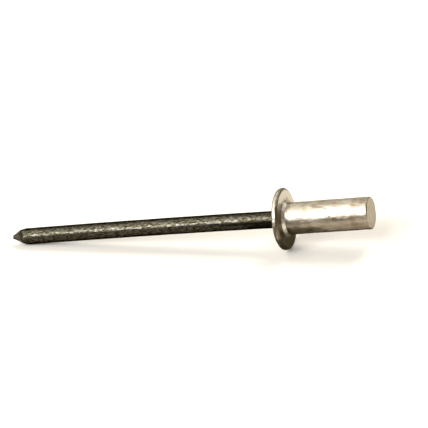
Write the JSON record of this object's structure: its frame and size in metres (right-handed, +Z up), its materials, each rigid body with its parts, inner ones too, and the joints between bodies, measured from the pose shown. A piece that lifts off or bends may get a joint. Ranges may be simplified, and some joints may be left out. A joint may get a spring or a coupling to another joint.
{
  "type": "closed-end blind rivet",
  "caption": "Unset closed-end blind rivet: a flanged aluminium shell with a closed end, swaged onto a long dark steel mandrel that ends in a pinched point.",
  "frame": {"origin": "centre of the flange's bearing face, on the rivet's axis", "axes": "+Z is up from the surface that the rivet lies on. +X runs from the mandrel's point towards the closed end; the rivet's own axis lies in the XZ plane and rises 4.4 degrees towards +X, because the rivet rests on its flange and its point. +Y is to the left of that direction."},
  "size_m": [0.0393, 0.0062, 0.0062],
  "materials": {
    "shell_aluminium": "satin, tumbled, with faint handling marks",
    "mandrel_steel": "dark oxide on drawn wire, mottled where it is rubbed"
  },
  "bodies": {
    "root": {"rivet_body": "shell_aluminium", "mandrel": "mandrel_steel"}
  },
  "joints": []
}
